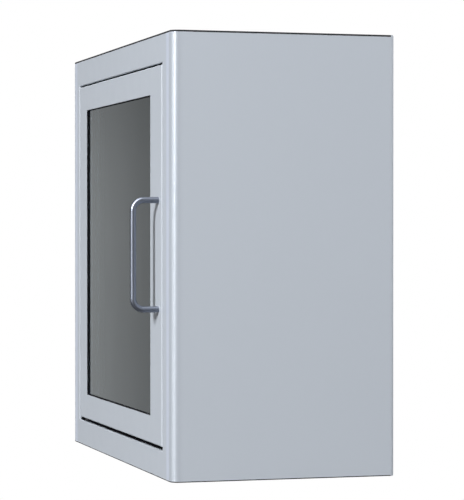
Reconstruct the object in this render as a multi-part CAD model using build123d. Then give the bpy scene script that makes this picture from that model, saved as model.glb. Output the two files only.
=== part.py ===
from build123d import *
import os

# A wall cabinet of folded sheet steel for a defibrillator, with a flush door that carries a window.
# Millimetres. X runs along the width, with the hinges on the low side. Y runs from the door to the wall.
# Z is up. The origin is the centre of the back face, on the wall.

# Driving dimensions of the box
cabinet_width = 400.0
cabinet_height = 390.0
cabinet_depth = 203.4
body_sheet = 1.5
back_sheet = 1.5
back_rim = 3.2
back_fold_radius = 2.4
corner_radius = 7.5
seam_bead_top = 1.6
seam_bead_bottom = 0.9
seam_bead_rounding = 0.45
weld_flange = 14.0
weld_flange_end_gap = 14.0
side_rear_flange = 12.0

# The front frame round the door opening
frame_hinge_margin = 28.3
frame_lock_margin = 32.3
frame_top_margin = 26.0
frame_bottom_margin = 24.6
jamb_depth = 14.0
jamb_fold_radius = 1.0
seal_thickness = 0.7
seal_from_front = 2.2
seal_pin_play = 0.4

# Gaps between the door and the frame
door_gap_hinge = 3.0
door_gap_lock = 3.0
door_gap_top = 1.5
door_gap_bottom = 3.1

# The door, a tray with lips turned in at its back
door_sheet_thickness = 1.5
door_thickness = 14.0
door_fold_radius = 1.4
door_lip = 8.0
stile_hinge = 31.8
stile_lock = 40.0
rail_top = 24.6
rail_bottom = 24.5
window_corner_radius = 0.8

# Glazing
gasket_thickness = 0.3
gasket_lip = 0.6
gasket_lip_setback = 0.25
pane_thickness = 3.0
pane_overlap = 9.0
pane_corner_radius = 3.0
strip_sheet = 1.2
strip_grip = 7.0
strip_foot = 7.0
strip_side_play = 0.3
strip_end_gap = 6.0

# Pull handle, bent from round bar
handle_bar_diameter = 5.6
handle_centres = 96.0
handle_projection = 23.0
handle_bend_radius = 9.5
handle_inset = 10.6
handle_above_middle = 0.9
screw_diameter = 3.5
screw_play = 0.1
screw_grip = 8.0
screw_head_diameter = 6.6
screw_head_height = 2.4

# Pivot pins that the door turns on
pivot_inset = 12.0
pivot_setback = 6.0
pin_diameter = 4.0
pin_head_diameter = 6.2
pin_head_height = 1.6
pin_reach = 9.0
pin_chamfer = 0.5
pin_weld_play = 0.05
pin_running_play = 0.08
washer_diameter = 6.4
washer_play = 0.2
bush_diameter = 6.4
bush_flange_diameter = 8.4
bush_flange_thickness = 1.2
bush_reach = 8.0
bush_press_play = 0.02

# Stops and the magnetic catch on the lock side
bracket_sheet = 1.5
bracket_fold_radius = 2.5
bracket_flange = 20.0
bracket_overlap = 10.0
stop_bracket_height = 28.0
stop_from_door_end = 39.5
catch_bracket_height = 56.0
stop_standoff = 10.0
rest_gap = 0.3
bumper_diameter = 8.0
bumper_nose_radius = 2.5
magnet_width = 12.0
magnet_height = 44.0
magnet_corner_radius = 1.5
pole_plate_thickness = 1.2
pole_plate_height = 34.0
pole_plate_projection = 0.8

# Screw holes to the wall
wall_hole_diameter = 8.0
wall_hole_inset = 50.0

# Extra length of a cutting body past the face that it cuts
past = 1.0

# Places worked out from the sizes above
half_width = cabinet_width / 2
half_height = cabinet_height / 2
front_y = -cabinet_depth
opening_x = (-half_width + frame_hinge_margin, half_width - frame_lock_margin)
opening_z = (-half_height + frame_bottom_margin, half_height - frame_top_margin)
door_x = (opening_x[0] + door_gap_hinge, opening_x[1] - door_gap_lock)
door_z = (opening_z[0] + door_gap_bottom, opening_z[1] - door_gap_top)
door_back_y = front_y + door_thickness
door_inner_y = front_y + door_sheet_thickness
window_x = (door_x[0] + stile_hinge, door_x[1] - stile_lock)
window_z = (door_z[0] + rail_bottom, door_z[1] - rail_top)
window_centre = ((window_x[0] + window_x[1]) / 2, (window_z[0] + window_z[1]) / 2)
window_half = ((window_x[1] - window_x[0]) / 2, (window_z[1] - window_z[0]) / 2)
pane_half = (window_half[0] + pane_overlap, window_half[1] + pane_overlap)
pane_front_y = door_inner_y + gasket_thickness
pane_back_y = pane_front_y + pane_thickness
handle_x = door_x[1] - handle_inset
door_middle_z = (door_z[0] + door_z[1]) / 2
handle_middle_z = door_middle_z + handle_above_middle
handle_z = (handle_middle_z - handle_centres / 2, handle_middle_z + handle_centres / 2)
pivot_x = door_x[0] + pivot_inset
pivot_y = front_y + pivot_setback
bracket_face_y = door_back_y + stop_standoff
lip_centre_x = door_x[1] - door_lip / 2
stop_z = (door_z[0] + stop_from_door_end, door_z[1] - stop_from_door_end)
body_back_y = -back_rim
side_x = half_width - body_sheet
shell_z = (-half_height + seam_bead_bottom, half_height - seam_bead_top)
wall_hole_x = half_width - wall_hole_inset
wall_hole_z = half_height - wall_hole_inset


def block(x, y, z):
    """A box between the low and high values given for each axis."""
    size = (x[1] - x[0], y[1] - y[0], z[1] - z[0])
    corner = Pos(x[0], y[0], z[0])
    return corner * Box(*size, align=(Align.MIN, Align.MIN, Align.MIN))


def rod_y(diameter, x, y, z):
    """A round bar along Y between the low and high values of y."""
    middle = Pos(x, (y[0] + y[1]) / 2, z) * Rot(90, 0, 0)
    return middle * Cylinder(diameter / 2, y[1] - y[0])


def rod_z(diameter, x, y, z):
    """A round bar along Z between the low and high values of z."""
    return Pos(x, y, (z[0] + z[1]) / 2) * Cylinder(diameter / 2, z[1] - z[0])


def plan_prism(inset, z):
    """The body's plan with its two rounded front corners, drawn in by inset at the front and sides,
    between the low and high values of z."""
    width = cabinet_width - 2 * inset
    depth = cabinet_depth - inset - back_rim
    plan = Pos(0, body_back_y - depth / 2) * Rectangle(width, depth)
    front_corners = plan.vertices().group_by(Axis.Y)[0]
    plan = fillet(front_corners, corner_radius - inset)
    return Pos(0, 0, z[0]) * extrude(plan, z[1] - z[0])


def edges_at(solid, y, x, z):
    """The straight edges of a solid in the plane y whose middles lie in the ranges x and z."""

    def wanted(edge):
        middle = edge.center()
        in_x = x[0] - 0.01 <= middle.X <= x[1] + 0.01
        in_z = z[0] - 0.01 <= middle.Z <= z[1] + 0.01
        return abs(middle.Y - y) < 0.01 and in_x and in_z

    return solid.edges().filter_by(GeomType.LINE).filter_by(wanted)


def grown(span, by):
    """A low and high value moved apart by the same amount."""
    return (span[0] - by, span[1] + by)


def mirrored_pair(x):
    """The low and high values of x, and the same mirrored to the other side."""
    return (x, (-x[1], -x[0]))


def front_shell():
    """The front frame and both sides, one sheet folded at large rounded front corners and turned in at the back.
    The door opening has a jamb turned in all round it, with holes for the two pivot pins."""
    shell = plan_prism(0, shell_z) - plan_prism(body_sheet, grown(shell_z, past))
    rear_y = (body_back_y - body_sheet, body_back_y)
    rear_z = grown((0, 0), half_height - body_sheet - weld_flange - weld_flange_end_gap / 4)
    for x in mirrored_pair((side_x - side_rear_flange, side_x)):
        shell += block(x, rear_y, rear_z)
    jamb_y = (front_y, front_y + jamb_depth)
    jamb = block(grown(opening_x, body_sheet), jamb_y, grown(opening_z, body_sheet))
    opening = block(opening_x, grown(jamb_y, past), opening_z)
    shell = shell + jamb - opening
    shell = fillet(edges_at(shell, front_y, opening_x, opening_z), jamb_fold_radius)
    pin_hole = pin_diameter + 2 * pin_weld_play
    full_height = grown(opening_z, body_sheet + past)
    return shell - rod_z(pin_hole, pivot_x, pivot_y, full_height)


def end_panel(side):
    """The top (1) or bottom (-1) panel, a sheet between the sides with weld flanges turned in all round."""
    face = half_height - body_sheet
    panel = plan_prism(body_sheet, (face, half_height))
    z = (face - weld_flange, face)
    front_x = grown((0, 0), half_width - corner_radius - weld_flange_end_gap)
    front_face_y = (front_y + body_sheet, front_y + 2 * body_sheet)
    panel += block(front_x, front_face_y, z)
    rear_face_y = (body_back_y - body_sheet, body_back_y)
    panel += block(grown((0, 0), side_x), rear_face_y, z)
    flank_y = (front_y + corner_radius + weld_flange_end_gap, body_back_y)
    for x in mirrored_pair((side_x - body_sheet, side_x)):
        panel += block(x, flank_y, z)
    return panel if side > 0 else mirror(panel, Plane.XY)


def back_panel():
    """The back, a shallow tray whose folded rim meets the body's rear edges, with the wall holes."""
    width = grown((0, 0), half_width)
    height = grown((0, 0), half_height)
    tray = block(width, (body_back_y, 0), height)
    tray = fillet(edges_at(tray, 0, width, height), back_fold_radius)
    inner_x = grown(width, -back_sheet)
    inner_z = grown(height, -back_sheet)
    pocket = block(inner_x, (body_back_y - past, -back_sheet), inner_z)
    pocket = fillet(edges_at(pocket, -back_sheet, inner_x, inner_z), back_fold_radius - back_sheet)
    tray -= pocket
    for x in (-wall_hole_x, wall_hole_x):
        for z in (-wall_hole_z, wall_hole_z):
            tray -= rod_y(wall_hole_diameter, x, grown((body_back_y, 0), past), z)
    return tray


def seam_bead(side):
    """The sealing bead in the seam between the shell and the top (1) or bottom (-1) panel."""
    height = seam_bead_top if side > 0 else seam_bead_bottom
    z = (half_height - height, half_height)
    outer = plan_prism(0, z)

    def outside_top(edge):
        middle = edge.center()
        return abs(middle.Z - half_height) < 0.01 and middle.Y < body_back_y - 0.01

    outer = fillet(outer.edges().filter_by(outside_top), seam_bead_rounding)
    bead = outer - plan_prism(body_sheet, grown(z, past))
    return bead if side > 0 else mirror(bead, Plane.XY)


def door_seal():
    """A thin black strip that lines the jamb, clear of the door and of the pins."""
    y = (front_y + seal_from_front, front_y + jamb_depth)
    seal = block(opening_x, y, opening_z)
    seal -= block(grown(opening_x, -seal_thickness), grown(y, past), grown(opening_z, -seal_thickness))
    return seal - rod_z(washer_diameter + 2 * seal_pin_play, pivot_x, pivot_y, grown(opening_z, past))


def door_sheet():
    """The door: a face with rounded edges, sides turned back and lips turned in, cut for the window."""
    tray = block(door_x, (front_y, door_back_y), door_z)
    tray = fillet(edges_at(tray, front_y, door_x, door_z), door_fold_radius)
    wall = door_sheet_thickness
    inside_x = grown(door_x, -wall)
    inside_z = grown(door_z, -wall)
    tray -= block(inside_x, (door_inner_y, door_back_y - wall), inside_z)
    mouth_y = (door_back_y - wall - past, door_back_y + past)
    tray -= block(grown(door_x, -door_lip), mouth_y, grown(door_z, -door_lip))
    tray -= rounded_plate(window_half, (front_y - past, door_inner_y + past), window_corner_radius)
    for z in handle_z:
        tray -= rod_y(screw_diameter + 2 * screw_play, handle_x, (front_y - past, door_inner_y + past), z)
    bush_hole = bush_diameter + 2 * bush_press_play
    tray -= rod_z(bush_hole, pivot_x, pivot_y, grown(door_z, past))
    return tray


def rounded_plate(half_size, y, radius):
    """A flat plate centred on the window, with rounded corners, between the low and high values of y."""
    outline = RectangleRounded(2 * half_size[0], 2 * half_size[1], radius)
    facing_front = Plane(origin=(window_centre[0], y[1], window_centre[1]), x_dir=(1, 0, 0), z_dir=(0, -1, 0))
    return extrude(facing_front * outline, y[1] - y[0])


def window_gasket():
    """A soft ring between the door and the pane, whose lip covers the window's cut edge."""
    clear_half = (window_half[0] - gasket_lip, window_half[1] - gasket_lip)
    lip_y = (front_y + gasket_lip_setback, door_inner_y)
    ring = rounded_plate(pane_half, (door_inner_y, pane_front_y), pane_corner_radius)
    ring += rounded_plate(window_half, lip_y, window_corner_radius)
    return ring - rounded_plate(clear_half, (front_y - past, pane_front_y + past), window_corner_radius)


def window_pane():
    """The clear pane."""
    return rounded_plate(pane_half, (pane_front_y, pane_back_y), pane_corner_radius)


def pane_strip(across, half_length, turn):
    """A folded strip that holds one edge of the pane: a foot on the door, a web beside the pane
    and a grip over its back. across is from the window's centre to the pane's edge."""
    web = across + strip_side_play
    foot_y = door_inner_y
    grip_y = pane_back_y
    section = Polyline(
        (web + strip_sheet + strip_foot, foot_y),
        (web, foot_y),
        (web, grip_y),
        (across - strip_grip, grip_y),
        (across - strip_grip, grip_y + strip_sheet),
        (web + strip_sheet, grip_y + strip_sheet),
        (web + strip_sheet, foot_y + strip_sheet),
        (web + strip_sheet + strip_foot, foot_y + strip_sheet),
        close=True,
    )
    strip = extrude(make_face(section), half_length, both=True)
    outer_corner = strip.edges().filter_by(Axis.Z).sort_by_distance((web + strip_sheet, grip_y + strip_sheet, 0))
    strip = fillet(outer_corner[0], strip_sheet)
    return Pos(window_centre[0], 0, window_centre[1]) * Rot(0, turn, 0) * strip


def handle():
    """The pull handle, a round bar with two bends and a screw hole in each foot."""
    out_y = front_y - handle_projection
    low, high = handle_z
    route = [(handle_x, front_y, low), (handle_x, out_y, low), (handle_x, out_y, high), (handle_x, front_y, high)]
    path = FilletPolyline(*route, radius=handle_bend_radius)
    section = Plane(origin=route[0], z_dir=(0, -1, 0)) * Circle(handle_bar_diameter / 2)
    bar = sweep(section, path=path)
    hole = screw_diameter + 2 * screw_play
    for z in handle_z:
        bar -= rod_y(hole, handle_x, (front_y - screw_grip - screw_play, front_y + past), z)
    return bar


def handle_screw(z):
    """A pan-head screw from inside the door into a foot of the handle."""
    shank = rod_y(screw_diameter, handle_x, (front_y - screw_grip, door_inner_y), z)
    head = rod_y(screw_head_diameter, handle_x, (door_inner_y, door_inner_y + screw_head_height), z)
    crown = head.edges().filter_by(GeomType.CIRCLE).sort_by(Axis.Y)[-1]
    head = fillet(crown, screw_head_height / 2)
    return shank + head


def pivot_pin(side):
    """A headed pin welded in the jamb, above (1) or below (-1), reaching into the door."""
    jamb_back = opening_z[1] + body_sheet if side > 0 else opening_z[0] - body_sheet
    door_edge = door_z[1] if side > 0 else door_z[0]
    tip = door_edge - side * pin_reach
    shank_z = tuple(sorted((jamb_back, tip)))
    head_z = tuple(sorted((jamb_back, jamb_back + side * pin_head_height)))
    shank = rod_z(pin_diameter, pivot_x, pivot_y, shank_z)
    rim = shank.edges().filter_by(GeomType.CIRCLE).sort_by(Axis.Z)
    shank = chamfer(rim[0] if side > 0 else rim[-1], pin_chamfer)
    return shank + rod_z(pin_head_diameter, pivot_x, pivot_y, head_z)


def pivot_washer():
    """The slip washer under the door, on the lower pin."""
    z = (opening_z[0], door_z[0] - washer_play)
    bore = pin_diameter + 2 * pin_weld_play
    disc = rod_z(washer_diameter, pivot_x, pivot_y, z)
    return disc - rod_z(bore, pivot_x, pivot_y, grown(z, past))


def pivot_bush(side):
    """A flanged bush pressed in the door's top (1) or bottom (-1) wall from inside, for the pin."""
    door_edge = door_z[1] if side > 0 else door_z[0]
    wall_inside = door_edge - side * door_sheet_thickness
    sleeve_z = tuple(sorted((door_edge, door_edge - side * bush_reach)))
    flange_z = tuple(sorted((wall_inside, wall_inside - side * bush_flange_thickness)))
    bush = rod_z(bush_diameter, pivot_x, pivot_y, sleeve_z)
    bush += rod_z(bush_flange_diameter, pivot_x, pivot_y, flange_z)
    return bush - rod_z(pin_diameter + 2 * pin_running_play, pivot_x, pivot_y, grown(sleeve_z, past))


def lock_side_bracket(z_middle, height):
    """An angle welded to the side on the lock side, with its face plate behind the door's lip."""
    wall_x = side_x
    inner_x = door_x[1] - door_lip - bracket_overlap / 2
    y = bracket_face_y
    section = Polyline(
        (inner_x, y),
        (wall_x, y),
        (wall_x, y + bracket_flange),
        (wall_x - bracket_sheet, y + bracket_flange),
        (wall_x - bracket_sheet, y + bracket_sheet),
        (inner_x, y + bracket_sheet),
        close=True,
    )
    angle = Pos(0, 0, z_middle) * extrude(make_face(section), height / 2, both=True)
    fold = angle.edges().filter_by(Axis.Z).sort_by_distance((wall_x, y, z_middle))
    return fillet(fold[0], bracket_fold_radius)


def bumper(z):
    """A rubber buffer on a stop bracket, just clear of the closed door's lip."""
    y = (door_back_y + rest_gap, bracket_face_y)
    button = rod_y(bumper_diameter, lip_centre_x, y, z)
    nose = button.edges().filter_by(GeomType.CIRCLE).sort_by(Axis.Y)[0]
    return fillet(nose, bumper_nose_radius)


def magnet_housing():
    """The body of the magnetic catch, on its bracket."""
    y = (door_back_y + rest_gap + pole_plate_projection, bracket_face_y)
    x = grown((lip_centre_x, lip_centre_x), magnet_width / 2)
    body = block(x, y, grown((0, 0), magnet_height / 2))
    body = fillet(body.edges().filter_by(Axis.Y), magnet_corner_radius)
    return body - pole_plates()


def pole_plates():
    """The two steel plates that meet the door's lip, let into the catch."""
    y = (door_back_y + rest_gap, bracket_face_y)
    offset = magnet_width / 4
    plates = []
    for side in (-1, 1):
        middle = lip_centre_x + side * offset
        x = grown((middle, middle), pole_plate_thickness / 2)
        plates.append(block(x, y, grown((0, 0), pole_plate_height / 2)))
    return plates


def make_parts():
    """Every piece by its node's name."""
    pane_strips = {
        "pane_strip_top": (pane_half[1], window_half[0] - strip_end_gap, -90),
        "pane_strip_bottom": (pane_half[1], window_half[0] - strip_end_gap, 90),
        "pane_strip_lock_side": (pane_half[0], window_half[1] - strip_end_gap, 0),
        "pane_strip_hinge_side": (pane_half[0], window_half[1] - strip_end_gap, 180),
    }
    parts = {
        "front_shell": front_shell(),
        "top_panel": end_panel(1),
        "bottom_panel": end_panel(-1),
        "back_panel": back_panel(),
        "seam_bead_top": seam_bead(1),
        "seam_bead_bottom": seam_bead(-1),
        "door_seal": door_seal(),
        "pivot_pin_upper": pivot_pin(1),
        "pivot_pin_lower": pivot_pin(-1),
        "pivot_washer": pivot_washer(),
        "pivot_bush_upper": pivot_bush(1),
        "pivot_bush_lower": pivot_bush(-1),
        "stop_bracket_upper": lock_side_bracket(stop_z[1], stop_bracket_height),
        "stop_bracket_lower": lock_side_bracket(stop_z[0], stop_bracket_height),
        "catch_bracket": lock_side_bracket(0, catch_bracket_height),
        "bumper_upper": bumper(stop_z[1]),
        "bumper_lower": bumper(stop_z[0]),
        "magnet_housing": magnet_housing(),
        "magnet_pole_plates": Compound(children=pole_plates()),
        "door_sheet": door_sheet(),
        "window_gasket": window_gasket(),
        "window_pane": window_pane(),
        "pull_handle": handle(),
        "handle_screw_upper": handle_screw(handle_z[1]),
        "handle_screw_lower": handle_screw(handle_z[0]),
    }
    for name, (across, half_length, turn) in pane_strips.items():
        parts[name] = pane_strip(across, half_length, turn)
    return parts


os.makedirs("parts", exist_ok=True)
for node, shape in make_parts().items():
    export_step(shape, f"parts/{node}.step")
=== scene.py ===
import math

import bmesh
import bpy
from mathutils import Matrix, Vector


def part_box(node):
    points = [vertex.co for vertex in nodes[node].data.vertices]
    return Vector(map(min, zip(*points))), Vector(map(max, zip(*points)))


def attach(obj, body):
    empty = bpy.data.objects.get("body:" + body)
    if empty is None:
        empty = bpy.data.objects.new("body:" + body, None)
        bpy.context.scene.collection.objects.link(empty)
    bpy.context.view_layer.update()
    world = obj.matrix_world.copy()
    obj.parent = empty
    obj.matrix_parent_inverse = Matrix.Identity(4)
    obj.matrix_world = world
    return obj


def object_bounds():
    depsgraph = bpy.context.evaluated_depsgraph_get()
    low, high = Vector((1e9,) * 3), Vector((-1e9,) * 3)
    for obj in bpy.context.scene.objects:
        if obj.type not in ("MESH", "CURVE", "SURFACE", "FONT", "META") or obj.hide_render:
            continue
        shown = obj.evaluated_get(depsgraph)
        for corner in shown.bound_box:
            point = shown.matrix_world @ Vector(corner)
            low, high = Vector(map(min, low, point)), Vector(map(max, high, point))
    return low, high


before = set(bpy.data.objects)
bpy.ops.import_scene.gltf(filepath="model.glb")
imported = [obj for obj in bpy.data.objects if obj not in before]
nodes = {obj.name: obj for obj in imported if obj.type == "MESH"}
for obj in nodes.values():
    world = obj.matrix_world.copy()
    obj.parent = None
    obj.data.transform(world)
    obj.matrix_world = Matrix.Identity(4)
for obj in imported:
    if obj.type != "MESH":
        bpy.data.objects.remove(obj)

# A painted steel wall cabinet with a window in its flush door. Metres, in the model's own frame:
# X along the width, Y into the wall, Z up, and the door faces -Y.
cad_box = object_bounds()
cabinet_height = 0.390
cabinet_depth = 0.2034
front_corner = Vector((0.200, -cabinet_depth, 0.0))

# The photograph's viewpoint, offset in cabinet heights from the front corner by the handle
camera_offset = Vector((4.7264, -1.2349, 0.0)) * cabinet_height
camera_height = 0.0230
camera_heading = Vector((-0.96028, 0.27903, 0.0))
camera_pitch_down = math.radians(0.525)
camera_lens = 159.6
camera_sensor = 36.0
camera_clip = 0.05

# Studio lamps: azimuth from -Y towards +X, elevation, distance from the target, size and power
lamp_target = Vector((0.1, -0.12, 0.0))
lamps = {
    "key_light": (34.5, 23.0, 6.0, (0.8, 2.0), 455.0),
    "grip_sheen": (5.0, 15.0, 6.0, (0.6, 6.0), 62.0),
    "bend_sheen": (27.0, 4.0, 6.0, (0.35, 4.5), 50.0),
    "upper_sheen": (36.0, 56.0, 4.0, (3.4, 3.2), 175.0),
    "back_light": (177.0, 30.0, 3.0, (1.2, 1.2), 26.0),
    "left_light": (-112.0, 35.0, 3.0, (1.4, 1.4), 34.0),
    "top_light": (0.0, 89.0, 3.0, (4.0, 4.0), 28.0),
    "overhead_sheen": (0.0, 89.0, 3.0, (4.0, 4.0), 220.0),
}

# These lamps show in gloss alone and cast no light
sheen_lamps = ("grip_sheen", "bend_sheen", "upper_sheen", "overhead_sheen")

# The surroundings: where the backdrop ends and how bright it and the room in front are
backdrop_direction = (-0.174, 0.985, 0.0)
backdrop_edge = (-0.22, 0.22)
backdrop_white = (0.22, 0.40)
backdrop_level = 1.05
room_level = 0.08

# How bright the surroundings are at each height, from 0 straight down to 1 straight up
ground_level = 0.18
ceiling_level = 0.25
height_levels = (
    (0.36, 0.92),
    (0.447, 0.94),
    (0.50, 1.0),
    (0.517, 0.92),
    (0.547, 0.62),
    (0.64, 0.62),
)

# The floor, its colour and glow to the camera near the cabinet, and the white further off
floor_drop = 1.2
floor_width = 14.0
floor_fade = (2.2, 5.5)
floor_colour = (0.16, 0.16, 0.165, 1.0)
floor_seen_colour = (0.80, 0.80, 0.80, 1.0)
floor_seen_glow = 0.60
white_glow = 1.0
white_colour = (1.0, 1.0, 1.0, 1.0)

# In all materials a noise is given as its scale and detail, a bump as its height and strength,
# and a colour's shades as factors. Most of a noise lies within this range.
noise_range = (0.3, 0.7)

# Powder coat: clouds and grain in its colour, patches in its gloss, and orange peel
coat_clouds = (14.0, 4.0)
coat_cloud_shades = (0.985, 1.015)
coat_grain = (1500.0, 2.0)
coat_grain_edge = (0.35, 0.65)
coat_grain_shade = 1.02
coat_patches = (60.0, 3.0)
coat_roughness = (0.36, 0.42)
coat_peel = (700.0, 2.0)
coat_peel_bump = (0.000012, 0.6)

# The coat's gloss, and a lower one on the top, which calms the key light's glare there
coat_gloss = 0.5
top_gloss = 0.03

# Each front bend is smoother than the flats, and begins between these distances from the middle
bend_edge = (0.1915, 0.1940)
bend_depth = 0.011
bend_roughness = (0.300, 0.310)
bend_shine = 0.20
bend_peel = 0.35

# A painted highlight: the front is paler and bluer in a band beside each bend, where a reflection
# of the light is put into the colour. It begins and ends between these distances.
highlight_band_begin = (0.1790, 0.1840)
highlight_band_end = (0.1885, 0.1925)
highlight_band_depth = 0.003

# The back panel's folded rim is shinier, from this far inside its outline and from the wall
rim_reach = (0.0035, 0.0015)
rim_depth = (0.0034, 0.0018)
rim_shine = 0.45

# Satin metal: lines, with their scales along and across them, and stains
satin_lines = (1.0, 3.0)
satin_scales = (60.0, 1800.0)
satin_shades = (0.93, 1.05)
satin_bump = (0.0000004, 0.1)
satin_stains = (40.0, 2.0)
satin_roughness = (0.345, 0.365)

# Zinc plate: patches of spangle, and grain
zinc_patches = (160.0, 4.0)
zinc_shades = (0.88, 1.08)
zinc_roughness = (0.40, 0.56)
zinc_grain = (2200.0, 2.0)
zinc_bump = (0.00001, 0.5)

# Rubber: a bloom of dust, and pores
rubber_bloom = (220.0, 4.0)
rubber_bloom_edge = (0.45, 0.75)
rubber_bloom_most = 0.5
rubber_bloom_shade = 2.2
rubber_roughness = (0.72, 0.90)
rubber_pores = (1800.0, 2.0)
rubber_bump = (0.00003, 0.5)
rubber_gloss = 0.06

# Moulded plastic: a fine texture, and tones
plastic_texture = (1600.0, 2.0)
plastic_bump = (0.00003, 0.6)
plastic_tones = (120.0, 3.0)
plastic_shades = (0.94, 1.06)
plastic_roughness = (0.42, 0.52)

# The pane: the tints of what is seen through it and of its mirror, smears and ripple
pane_index = 1.49
pane_mirror = (0.915, 0.975, 1.0, 1.0)
pane_haze = (9.0, 3.0)
pane_tints = ((0.785, 0.82, 0.845, 1.0), (0.835, 0.86, 0.885, 1.0))
pane_smears = (30.0, 3.0)
pane_roughness = (0.02, 0.05)
pane_ripple = (14.0, 1.0)
pane_ripple_height = 0.00008

# The pane's slight outward bow: its fall over the square of the distance from its middle
pane_bow_across = 0.02
pane_bow_up = 0.06

# Nuts on weld studs hold the pane's strips
nut_across_flats = 0.0055
nut_height = 0.0024
nut_chamfer = 0.0003
stud_radius = 0.0015
thread_depth = 0.00014
thread_pitch = 0.0005
stud_end = 0.0040
strip_sheet = 0.0012
strip_foot_middle = 0.0033
nuts_along = (-0.40, 0.0, 0.40)

# Two low screws hold the magnet's housing. Their outlines are shares of the radius and height.
screw_radius = 0.0021
screw_height = 0.0005
screw_head = ((1.0, 0.0), (1.0, 0.4), (0.94, 0.8), (0.80, 1.0))
screw_socket = ((0.60, 1.0), (0.60, 0.2))
screw_socket_flats = 0.0018
screw_from_end = 0.0025

round_steps = 36
hexagon_sector = math.radians(60.0)

# The sockets of Blender's Mix node that take and give colours
mix_colour_inputs = (6, 7)
mix_colour_output = 2


def linear(red, green, blue):
    """A display colour, 0 to 255, as the scene-linear colour that renders like it."""

    def channel(value):
        share = value / 255.0
        if share <= 0.04045:
            return share / 12.92
        return ((share + 0.055) / 1.055) ** 2.4

    return (channel(red), channel(green), channel(blue), 1.0)


# Base colours
paint = linear(184, 191, 200)
# The paler paint of the painted highlight beside each front bend
highlight_band_paint = linear(196, 204, 219)
handle_metal = (0.215, 0.236, 0.285, 1.0)
zinc = (0.55, 0.56, 0.57, 1.0)
rubber = (0.003, 0.003, 0.0045, 1.0)
catch_plastic = (0.035, 0.036, 0.038, 1.0)
nylon = (0.030, 0.030, 0.032, 1.0)
sealant = (0.030, 0.031, 0.034, 1.0)


# Node tools


class Tree:
    """A material or world node tree with short ways to add and join nodes."""

    def __init__(self, owner):
        owner.use_nodes = True
        self.tree = owner.node_tree
        self.tree.nodes.clear()

    def add(self, kind, **values):
        node = self.tree.nodes.new(kind)
        for name, value in values.items():
            setattr(node, name, value)
        return node

    def join(self, source, target):
        self.tree.links.new(source, target)

    def noise(self, coords, scale, detail):
        node = self.add("ShaderNodeTexNoise")
        node.inputs["Scale"].default_value = scale
        node.inputs["Detail"].default_value = detail
        self.join(coords, node.inputs["Vector"])
        return node.outputs["Fac"]

    def remap(self, value, low, high, to_low, to_high, shape="LINEAR"):
        node = self.add("ShaderNodeMapRange", interpolation_type=shape)
        node.inputs["From Min"].default_value = low
        node.inputs["From Max"].default_value = high
        node.inputs["To Min"].default_value = to_low
        node.inputs["To Max"].default_value = to_high
        self.join(value, node.inputs["Value"])
        return node.outputs["Result"]

    def between(self, share, first, last):
        """The first value at share 0 and the last at share 1."""
        return self.remap(share, 0.0, 1.0, first, last)

    def spread(self, noise, first, last):
        """Most of a noise, spread from the first value to the last."""
        return self.remap(noise, *noise_range, first, last)

    def rise(self, value, start, end):
        """0 up to the start and 1 from the end on, with a soft rise between."""
        return self.remap(value, start, end, 0.0, 1.0, "SMOOTHSTEP")

    def math(self, operation, first, second):
        node = self.add("ShaderNodeMath", operation=operation)
        for index, value in enumerate((first, second)):
            if isinstance(value, (int, float)):
                node.inputs[index].default_value = value
            else:
                self.join(value, node.inputs[index])
        return node.outputs["Value"]

    def absolute(self, value):
        return self.math("ABSOLUTE", value, 0.0)

    def mix_colour(self, share, first, second):
        node = self.add("ShaderNodeMix", data_type="RGBA")
        self.join(share, node.inputs["Factor"])
        for index, colour in zip(mix_colour_inputs, (first, second)):
            if isinstance(colour, tuple):
                node.inputs[index].default_value = colour
            else:
                self.join(colour, node.inputs[index])
        return node.outputs[mix_colour_output]

    def mix_shades(self, share, colour, shades):
        return self.mix_colour(share, shade(colour, shades[0]), shade(colour, shades[1]))

    def bump(self, height, distance, strength=1.0, normal=None):
        node = self.add("ShaderNodeBump")
        node.inputs["Distance"].default_value = distance
        node.inputs["Strength"].default_value = strength
        self.join(height, node.inputs["Height"])
        if normal is not None:
            self.join(normal, node.inputs["Normal"])
        return node.outputs["Normal"]

    def stretched(self, coords, scale):
        node = self.add("ShaderNodeMapping")
        node.inputs["Scale"].default_value = scale
        self.join(coords, node.inputs["Vector"])
        return node.outputs["Vector"]

    def split(self, vector):
        node = self.add("ShaderNodeSeparateXYZ")
        self.join(vector, node.inputs["Vector"])
        return node.outputs

    def object_coords(self):
        return self.add("ShaderNodeTexCoord").outputs["Object"]

    def diffuse(self, colour):
        node = self.add("ShaderNodeBsdfDiffuse")
        node.inputs["Color"].default_value = colour
        return node.outputs["BSDF"]

    def clear(self):
        return self.add("ShaderNodeBsdfTransparent")

    def glow(self, strength):
        node = self.add("ShaderNodeEmission")
        node.inputs["Strength"].default_value = strength
        return node.outputs["Emission"]

    def mix_shaders(self, share, first, second):
        node = self.add("ShaderNodeMixShader")
        self.join(share, node.inputs["Fac"])
        self.join(first, node.inputs[1])
        self.join(second, node.inputs[2])
        return node.outputs["Shader"]

    def show(self, surface, kind="ShaderNodeOutputMaterial"):
        self.join(surface, self.add(kind).inputs["Surface"])


def shade(colour, factor):
    return tuple(part * factor for part in colour[:3]) + (1.0,)


def start_material(name):
    """A new material with its tree and the shader that it shows."""
    material = bpy.data.materials.new(name)
    tree = Tree(material)
    shader = tree.add("ShaderNodeBsdfPrincipled")
    tree.show(shader.outputs["BSDF"])
    return material, tree, shader


# Materials


def near_corner(tree, coords, start, end, front_end):
    """0 nearer the cabinet's middle than the start and 1 beyond the end, on the front alone."""
    place = tree.split(coords)
    rise = tree.rise(tree.absolute(place["X"]), start, end)
    depth = tree.math("ADD", place["Y"], cabinet_depth)
    near_front = tree.remap(depth, front_end / 2, front_end, 1.0, 0.0, "SMOOTHSTEP")
    return tree.math("MULTIPLY", rise, near_front)


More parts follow.
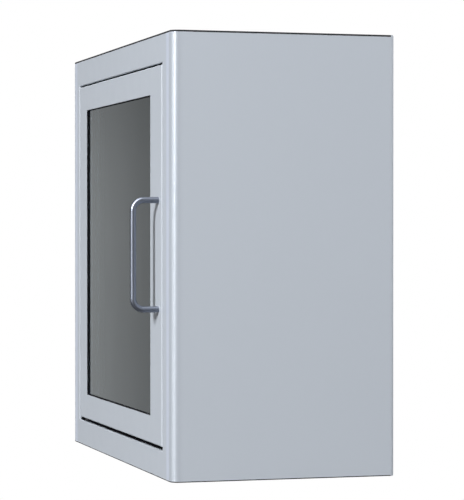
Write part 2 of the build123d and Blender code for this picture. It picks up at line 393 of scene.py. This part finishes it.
def near_rim(tree, coords):
    """1 on the rounded fold round the back panel, and 0 on its flat middle."""
    low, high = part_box("back_panel")
    place = tree.split(coords)
    depth = tree.rise(place["Y"], -rim_depth[0], -rim_depth[1])
    reaches = []
    for axis, limit in (("X", high[0]), ("Z", high[2])):
        away = tree.absolute(place[axis])
        reaches.append(tree.rise(away, limit - rim_reach[0], limit - rim_reach[1]))
    return tree.math("MULTIPLY", depth, tree.math("MAXIMUM", *reaches))


def coat_tint(tree, coords, colour):
    """The coat's colour with faint clouds and a fine grain."""
    clouds = tree.noise(coords, *coat_clouds)
    clouded = tree.mix_shades(clouds, colour, coat_cloud_shades)
    grain = tree.noise(coords, *coat_grain)
    share = tree.remap(grain, *coat_grain_edge, 0.0, 1.0)
    return tree.mix_colour(share, clouded, shade(colour, coat_grain_shade))


def with_painted_highlight_band(tree, coords, tint):
    """A tint with a painted highlight: paler in a band beside each front bend."""
    begin = near_corner(tree, coords, *highlight_band_begin, highlight_band_depth)
    end = near_corner(tree, coords, *highlight_band_end, highlight_band_depth)
    return tree.mix_colour(tree.math("SUBTRACT", begin, end), tint, highlight_band_paint)


def on_bend(tree, bend, patches, roughness):
    """A roughness that gives way to the bend's own where there is a bend."""
    polished = tree.math("MULTIPLY", tree.spread(patches, *bend_roughness), bend)
    flat = tree.math("MULTIPLY", roughness, tree.between(bend, 1.0, 0.0))
    return tree.math("ADD", polished, flat)


def powder_coat(name, shell=False, rim=False, gloss=coat_gloss):
    """Satin powder coat. The shell's has painted highlight bands and smooth bends, the back's a
    shinier rim.
    """
    material, tree, shader = start_material(name)
    coords = tree.object_coords()
    tint = coat_tint(tree, coords, paint)
    patches = tree.noise(coords, *coat_patches)
    roughness = tree.spread(patches, *coat_roughness)
    peel = tree.noise(coords, *coat_peel)
    if shell:
        bend = near_corner(tree, coords, *bend_edge, bend_depth)
        # Painted highlight: a paler band on the front beside each bend
        tint = with_painted_highlight_band(tree, coords, tint)
        roughness = on_bend(tree, bend, patches, roughness)
        peel = tree.math("MULTIPLY", peel, tree.between(bend, 1.0, bend_peel))
        tree.join(tree.between(bend, 0.0, bend_shine), shader.inputs["Metallic"])
    if rim:
        shine = tree.between(near_rim(tree, coords), 0.0, rim_shine)
        tree.join(shine, shader.inputs["Metallic"])
    tree.join(tint, shader.inputs["Base Color"])
    tree.join(roughness, shader.inputs["Roughness"])
    tree.join(tree.bump(peel, *coat_peel_bump), shader.inputs["Normal"])
    shader.inputs["Specular IOR Level"].default_value = gloss
    return material


def satin_metal(name, colour, along):
    """Metal with fine lines along one axis, and a few softer stains in its gloss."""
    material, tree, shader = start_material(name)
    coords = tree.object_coords()
    scales = tuple(satin_scales[0] if axis == along else satin_scales[1] for axis in range(3))
    lines = tree.noise(tree.stretched(coords, scales), *satin_lines)
    stains = tree.noise(coords, *satin_stains)
    tree.join(tree.mix_shades(lines, colour, satin_shades), shader.inputs["Base Color"])
    tree.join(tree.spread(stains, *satin_roughness), shader.inputs["Roughness"])
    tree.join(tree.bump(lines, *satin_bump), shader.inputs["Normal"])
    shader.inputs["Metallic"].default_value = 1.0
    return material


def zinc_plate(name):
    """Zinc-plated steel: a faint patchy spangle."""
    material, tree, shader = start_material(name)
    coords = tree.object_coords()
    patches = tree.noise(coords, *zinc_patches)
    grain = tree.noise(coords, *zinc_grain)
    tree.join(tree.mix_shades(patches, zinc, zinc_shades), shader.inputs["Base Color"])
    tree.join(tree.spread(patches, *zinc_roughness), shader.inputs["Roughness"])
    tree.join(tree.bump(grain, *zinc_bump), shader.inputs["Normal"])
    shader.inputs["Metallic"].default_value = 1.0
    return material


def dull_rubber(name, colour):
    """Matt rubber with a bloom of dust and a fine pore."""
    material, tree, shader = start_material(name)
    coords = tree.object_coords()
    bloom = tree.noise(coords, *rubber_bloom)
    share = tree.remap(bloom, *rubber_bloom_edge, 0.0, rubber_bloom_most)
    dusty = tree.mix_colour(share, colour, shade(colour, rubber_bloom_shade))
    pores = tree.noise(coords, *rubber_pores)
    tree.join(dusty, shader.inputs["Base Color"])
    tree.join(tree.spread(bloom, *rubber_roughness), shader.inputs["Roughness"])
    tree.join(tree.bump(pores, *rubber_bump), shader.inputs["Normal"])
    shader.inputs["Specular IOR Level"].default_value = rubber_gloss
    return material


def moulded_plastic(name, colour):
    """Moulded plastic with a fine spark-eroded texture."""
    material, tree, shader = start_material(name)
    coords = tree.object_coords()
    texture = tree.noise(coords, *plastic_texture)
    tones = tree.noise(coords, *plastic_tones)
    tree.join(tree.mix_shades(tones, colour, plastic_shades), shader.inputs["Base Color"])
    tree.join(tree.spread(tones, *plastic_roughness), shader.inputs["Roughness"])
    tree.join(tree.bump(texture, *plastic_bump), shader.inputs["Normal"])
    return material


def pane_normal(tree, coords):
    """The normal of a pane that is bowed outward a little by its strips, with a faint ripple."""
    low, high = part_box("window_pane")
    place = tree.split(coords)
    falls = []
    for axis, index, bow in (("X", 0, pane_bow_across), ("Z", 2, pane_bow_up)):
        away = tree.math("SUBTRACT", place[axis], (low[index] + high[index]) / 2)
        square = tree.math("MULTIPLY", away, away)
        falls.append(tree.math("MULTIPLY", square, -bow))
    bowed = tree.bump(tree.math("ADD", *falls), 1.0)
    ripple = tree.noise(coords, *pane_ripple)
    return tree.bump(ripple, pane_ripple_height, 1.0, bowed)


def both_faces(tree, share):
    """The mirror of a pane's two faces together, from the share that one face mirrors."""
    twice = tree.math("MULTIPLY", share, 2.0)
    return tree.math("DIVIDE", twice, tree.math("ADD", share, 1.0))


def clear_pane(name):
    """Clear sheet: what is behind it shows unbent, with the mirror of its two faces over it."""
    material = bpy.data.materials.new(name)
    tree = Tree(material)
    coords = tree.object_coords()
    clear = tree.clear()
    mirror = tree.add("ShaderNodeBsdfGlossy")
    fresnel = tree.add("ShaderNodeFresnel")
    fresnel.inputs["IOR"].default_value = pane_index
    mirror.inputs["Color"].default_value = pane_mirror
    haze = tree.noise(coords, *pane_haze)
    tree.join(tree.mix_colour(haze, *pane_tints), clear.inputs["Color"])
    smears = tree.noise(coords, *pane_smears)
    tree.join(tree.spread(smears, *pane_roughness), mirror.inputs["Roughness"])
    normal = pane_normal(tree, coords)
    tree.join(normal, mirror.inputs["Normal"])
    tree.join(normal, fresnel.inputs["Normal"])
    share = both_faces(tree, fresnel.outputs["Fac"])
    tree.show(tree.mix_shaders(share, clear.outputs["BSDF"], mirror.outputs["BSDF"]))
    return material


def dress(material, *names):
    """Gives nodes of the model this material."""
    for name in names:
        mesh = nodes[name].data
        mesh.materials.clear()
        mesh.materials.append(material)


def dress_paint():
    dress(powder_coat("front_shell_coat", shell=True), "front_shell")
    dress(powder_coat("back_panel_coat", rim=True), "back_panel")
    dress(powder_coat("top_panel_coat", gloss=top_gloss), "top_panel")
    coat = powder_coat("cabinet_paint_coat")
    dress(coat, "bottom_panel", "stop_bracket_upper", "stop_bracket_lower", "catch_bracket")
    dress(powder_coat("door_paint_coat"), "door_sheet")


def dress_metal():
    dress(satin_metal("handle_satin", handle_metal, 2), "pull_handle")
    steel = zinc_plate("zinc_fasteners")
    dress(steel, "pivot_pin_upper", "pivot_pin_lower", "magnet_pole_plates")
    dress(steel, "handle_screw_upper", "handle_screw_lower")
    strips = zinc_plate("zinc_strips")
    dress(strips, "pane_strip_top", "pane_strip_bottom")
    dress(strips, "pane_strip_lock_side", "pane_strip_hinge_side")


def dress_rest():
    dress(dull_rubber("gasket_black", rubber), "window_gasket", "door_seal")
    dress(dull_rubber("seam_sealant", sealant), "seam_bead_top", "seam_bead_bottom")
    dress(dull_rubber("bumper_black", rubber), "bumper_upper", "bumper_lower")
    dress(moulded_plastic("catch_black", catch_plastic), "magnet_housing")
    bearings = moulded_plastic("nylon_black", nylon)
    dress(bearings, "pivot_washer", "pivot_bush_upper", "pivot_bush_lower")
    dress(clear_pane("pane_clear"), "window_pane")


# Small fasteners


def add_object(name, data):
    """A new object in the scene."""
    added = bpy.data.objects.new(name, data)
    bpy.context.scene.collection.objects.link(added)
    return added


def hexagon_radius(across_flats, angle):
    """The radius of a hexagon at an angle, from its middle."""
    turn = (angle + hexagon_sector / 2) % hexagon_sector - hexagon_sector / 2
    return across_flats / 2 / math.cos(turn)


def add_ring(shape, ring, centre, outward):
    """A ring round the Y axis: its radius, its height and the hexagon that cuts it, or None."""
    radius, height, across_flats = ring
    points = []
    for step in range(round_steps):
        angle = math.tau * step / round_steps
        reach = radius
        if across_flats is not None:
            reach = min(radius, hexagon_radius(across_flats, angle))
        offset = Vector((reach * math.cos(angle), outward * height, reach * math.sin(angle)))
        points.append(shape.verts.new(centre + offset))
    return points


def turned_mesh(name, rings, centre, outward):
    """A closed mesh through rings that are turned about the Y axis."""
    shape = bmesh.new()
    loops = [add_ring(shape, ring, centre, outward) for ring in rings]
    for lower, upper in zip(loops, loops[1:]):
        for step in range(round_steps):
            after = (step + 1) % round_steps
            shape.faces.new((lower[step], lower[after], upper[after], upper[step]))
    shape.faces.new(loops[0])
    shape.faces.new(loops[-1])
    bmesh.ops.recalc_face_normals(shape, faces=shape.faces)
    mesh = bpy.data.meshes.new(name)
    shape.to_mesh(mesh)
    shape.free()
    return mesh


def add_fastener(name, rings, centre, outward, material, body):
    """A turned fastener that rides on a body, its head outward along Y by 1 or -1."""
    mesh = turned_mesh(name, rings, centre, outward)
    mesh.materials.append(material)
    piece = add_object(name, mesh)
    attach(piece, body)


def nut_rings():
    """A hexagon nut with chamfered corners, and the threaded end of its stud."""
    corner = nut_across_flats / 2 / math.cos(hexagon_sector / 2)
    low = corner - 2 * nut_chamfer
    rings = [
        (low, 0.0, nut_across_flats),
        (corner, nut_chamfer, nut_across_flats),
        (corner, nut_height - nut_chamfer, nut_across_flats),
        (low, nut_height, nut_across_flats),
        (stud_radius + nut_chamfer, nut_height, None),
        (stud_radius - thread_depth, nut_height - nut_chamfer, None),
    ]
    height = nut_height
    while height + thread_pitch < stud_end:
        rings.append((stud_radius, height + thread_pitch / 2, None))
        rings.append((stud_radius - thread_depth, height + thread_pitch, None))
        height += thread_pitch
    rings.append((stud_radius - 2 * thread_depth, stud_end, None))
    return rings


def screw_rings():
    """A low round head with a rounded edge and a hexagon socket."""
    rings = []
    for outline, across_flats in ((screw_head, None), (screw_socket, screw_socket_flats)):
        for across, up in outline:
            rings.append((screw_radius * across, screw_height * up, across_flats))
    return rings


def add_nuts(material):
    """Three nuts along the foot of each strip, on its side away from the window."""
    strips = {
        "pane_strip_top": (0, 2, 1),
        "pane_strip_bottom": (0, 2, -1),
        "pane_strip_lock_side": (2, 0, 1),
        "pane_strip_hinge_side": (2, 0, -1),
    }
    for strip, (along, across, side) in strips.items():
        low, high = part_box(strip)
        edge = high[across] if side > 0 else low[across]
        for index, share in enumerate(nuts_along):
            centre = Vector((0.0, low[1] + strip_sheet, 0.0))
            centre[along] = (low[along] + high[along]) / 2 + share * (high[along] - low[along])
            centre[across] = edge - side * strip_foot_middle
            name = strip.replace("pane_strip", "strip_nut") + "_" + str(index + 1)
            add_fastener(name, nut_rings(), centre, 1.0, material, "door")


def add_catch_screws(material):
    """Two screws in the face of the magnet's housing, above and below the pole plates."""
    low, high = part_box("magnet_housing")
    middle = (low[0] + high[0]) / 2
    heights = {"upper": high[2] - screw_from_end, "lower": low[2] + screw_from_end}
    for name, height in heights.items():
        centre = Vector((middle, low[1], height))
        add_fastener("catch_screw_" + name, screw_rings(), centre, -1.0, material, "cabinet")


def add_fasteners():
    material = zinc_plate("zinc_nuts")
    add_nuts(material)
    add_catch_screws(material)


# Stage


def camera_or_through(tree):
    """1 for the camera's own rays and for those that pass through a pane."""
    path = tree.add("ShaderNodeLightPath").outputs
    return tree.math("MAXIMUM", path["Is Camera Ray"], path["Is Transmission Ray"])


def backdrop_share(tree, direction, edge):
    """1 towards the white backdrop behind the cabinet, falling to 0 towards the room in front."""
    facing = tree.add("ShaderNodeVectorMath", operation="DOT_PRODUCT")
    tree.join(direction, facing.inputs[0])
    facing.inputs[1].default_value = backdrop_direction
    return tree.rise(facing.outputs["Value"], *edge)


def height_share(tree, direction):
    """How bright the surroundings are at each height: full round the horizon, dimmer elsewhere."""
    ramp = tree.add("ShaderNodeValToRGB")
    height = tree.remap(tree.split(direction)["Z"], -1.0, 1.0, 0.0, 1.0)
    tree.join(height, ramp.inputs["Fac"])
    stops = ramp.color_ramp.elements
    stops[0].position = 0.0
    stops[0].color = (ground_level, ground_level, ground_level, 1.0)
    stops[1].position = 1.0
    stops[1].color = (ceiling_level, ceiling_level, ceiling_level, 1.0)
    for position, level in height_levels:
        stops.new(position).color = (level, level, level, 1.0)
    return ramp.outputs["Color"]


def make_world():
    """A studio with a white backdrop behind the cabinet and a dimmer room round the camera.
    The camera sees white all round, and metal and paint show the white backdrop where it stands."""
    world = bpy.data.worlds.new("studio")
    bpy.context.scene.world = world
    tree = Tree(world)
    direction = tree.add("ShaderNodeTexCoord").outputs["Generated"]
    behind = backdrop_share(tree, direction, backdrop_edge)
    light = tree.add("ShaderNodeBackground")
    tree.join(height_share(tree, direction), light.inputs["Color"])
    tree.join(tree.between(behind, room_level, backdrop_level), light.inputs["Strength"])
    white = tree.add("ShaderNodeBackground")
    white.inputs["Color"].default_value = white_colour
    glossy = tree.add("ShaderNodeLightPath").outputs["Is Glossy Ray"]
    white_part = backdrop_share(tree, direction, backdrop_white)
    mirrored = tree.math("MULTIPLY", glossy, white_part)
    share = tree.math("MAXIMUM", camera_or_through(tree), mirrored)
    shown = tree.mix_shaders(share, light.outputs["Background"], white.outputs["Background"])
    tree.show(shown, "ShaderNodeOutputWorld")


def floor_material():
    """Matt to the light, and a pale glow to the camera that fades to white further off.
    From below it is clear, so that the cabinet's underside can be looked at."""
    material = bpy.data.materials.new("studio_floor")
    tree = Tree(material)
    near = tree.add("ShaderNodeAddShader")
    tree.join(tree.diffuse(floor_seen_colour), near.inputs[0])
    tree.join(tree.glow(floor_seen_glow), near.inputs[1])
    reach = tree.add("ShaderNodeVectorMath", operation="LENGTH")
    tree.join(tree.object_coords(), reach.inputs[0])
    far = tree.rise(reach.outputs["Value"], *floor_fade)
    seen = tree.mix_shaders(far, near.outputs["Shader"], tree.glow(white_glow))
    above = tree.mix_shaders(camera_or_through(tree), tree.diffuse(floor_colour), seen)
    underside = tree.add("ShaderNodeNewGeometry").outputs["Backfacing"]
    tree.show(tree.mix_shaders(underside, above, tree.clear().outputs["BSDF"]))
    return material


def make_floor():
    """A pale floor well below the cabinet, which hangs. It keeps the cabinet's shadow."""
    mesh = bpy.data.meshes.new("studio_floor")
    half = floor_width / 2
    level = cad_box[0][2] - floor_drop
    signs = ((-1, -1), (1, -1), (1, 1), (-1, 1))
    corners = [(across * half, deep * half, level) for across, deep in signs]
    mesh.from_pydata(corners, [], [(0, 1, 2, 3)])
    floor = add_object("studio_floor", mesh)
    mesh.materials.append(floor_material())


def direction_from(azimuth, elevation):
    turn = math.radians(azimuth)
    lift = math.radians(elevation)
    flat = math.cos(lift)
    return Vector((flat * math.sin(turn), -flat * math.cos(turn), math.sin(lift)))


def make_lights():
    """Rectangular lamps that face the cabinet."""
    for name, (azimuth, elevation, distance, size, power) in lamps.items():
        lamp = bpy.data.lights.new(name, "AREA")
        lamp.shape = "RECTANGLE"
        lamp.size, lamp.size_y = size
        lamp.energy = power
        light = add_object(name, lamp)
        out = direction_from(azimuth, elevation)
        light.location = lamp_target + out * distance
        light.rotation_euler = out.to_track_quat("Z", "Y").to_euler()
        light.visible_diffuse = name not in sheen_lamps


def make_camera():
    camera = bpy.data.cameras.new("photo_camera")
    camera.lens = camera_lens
    camera.sensor_width = camera_sensor
    camera.clip_start = camera_clip
    view = add_object("photo_camera", camera)
    place = front_corner + camera_offset
    place.z = camera_height
    down = Vector((0.0, 0.0, math.sin(camera_pitch_down)))
    aim = camera_heading * math.cos(camera_pitch_down) - down
    view.location = place
    view.rotation_euler = aim.to_track_quat("-Z", "Y").to_euler()
    bpy.context.scene.camera = view


dress_paint()
dress_metal()
dress_rest()
add_fasteners()
make_world()
make_floor()
make_lights()
make_camera()
bpy.context.scene.view_settings.view_transform = "Standard"
